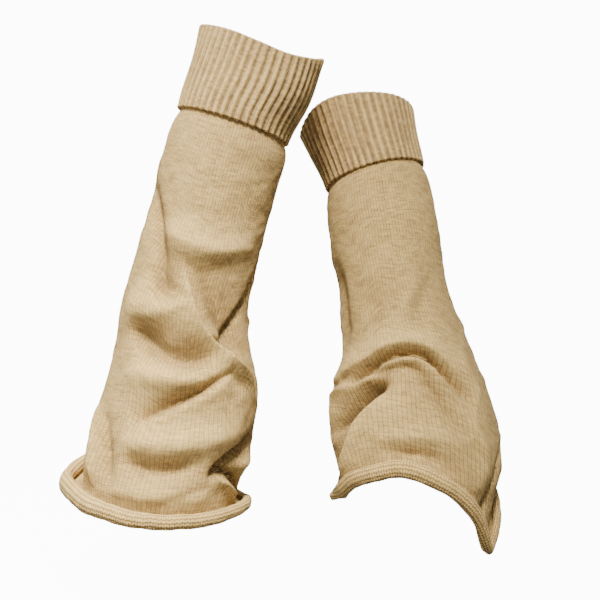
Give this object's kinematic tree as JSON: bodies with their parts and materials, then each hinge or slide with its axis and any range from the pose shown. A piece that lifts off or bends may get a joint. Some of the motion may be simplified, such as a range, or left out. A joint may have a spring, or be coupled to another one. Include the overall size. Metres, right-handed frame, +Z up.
{
  "type": "pair of leg warmers",
  "caption": "Pair of slouchy knitted leg warmers with turned-down rib cuffs and rolled hems, open at both ends and shaped as worn with no wearer.",
  "frame": {"origin": "middle of the left cuff, on its axis, where the calf holds it up; left and right are as seen from the front", "axes": "+X to the right as seen from the front, +Y from front to back, +Z up along the legs"},
  "size_m": [0.4133, 0.2382, 0.4774],
  "materials": {
    "rib_knit": "matte rib knit, tan",
    "plain_knit": "matte plain knit, tan",
    "curled_hem": "matte plain knit, its reverse side showing, tan"
  },
  "bodies": {
    "root": {"left_cuff": "rib_knit", "left_leg": "plain_knit", "left_hem": "curled_hem", "right_cuff": "rib_knit", "right_leg": "plain_knit", "right_hem": "curled_hem"}
  },
  "joints": []
}
